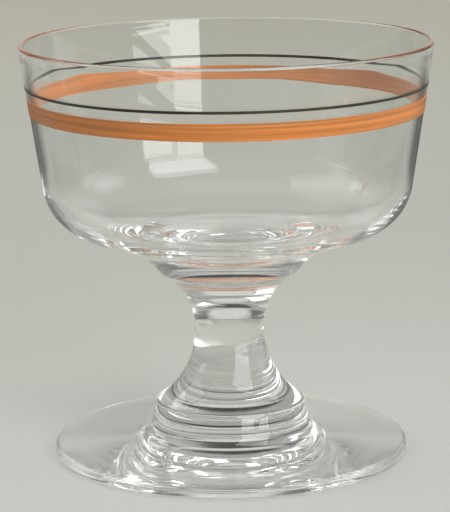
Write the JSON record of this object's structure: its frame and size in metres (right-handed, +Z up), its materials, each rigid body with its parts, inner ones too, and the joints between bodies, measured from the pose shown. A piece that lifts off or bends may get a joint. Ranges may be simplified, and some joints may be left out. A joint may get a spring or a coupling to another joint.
{
  "type": "footed dessert glass",
  "caption": "Low footed glass with a wide round bowl, a short waisted stem on a disc foot and painted rings below the rim, for serving a parfait or other dessert.",
  "frame": {"origin": "centre of the foot's flat underside, on the surface that the glass stands on", "axes": "+Z up along the axis of the bowl, stem and foot; the glass is round, so X and Y are free"},
  "size_m": [0.0834, 0.0834, 0.0849],
  "materials": {
    "clear_glass": "clear, fire-polished",
    "orange_enamel": "fired-on paint, glossy, brushed round",
    "dark_enamel": "fired-on paint, glossy"
  },
  "bodies": {
    "root": {"bowl": "clear_glass", "stem": "clear_glass", "foot": "clear_glass", "broad_band": "orange_enamel", "fine_line": "dark_enamel"}
  },
  "joints": []
}
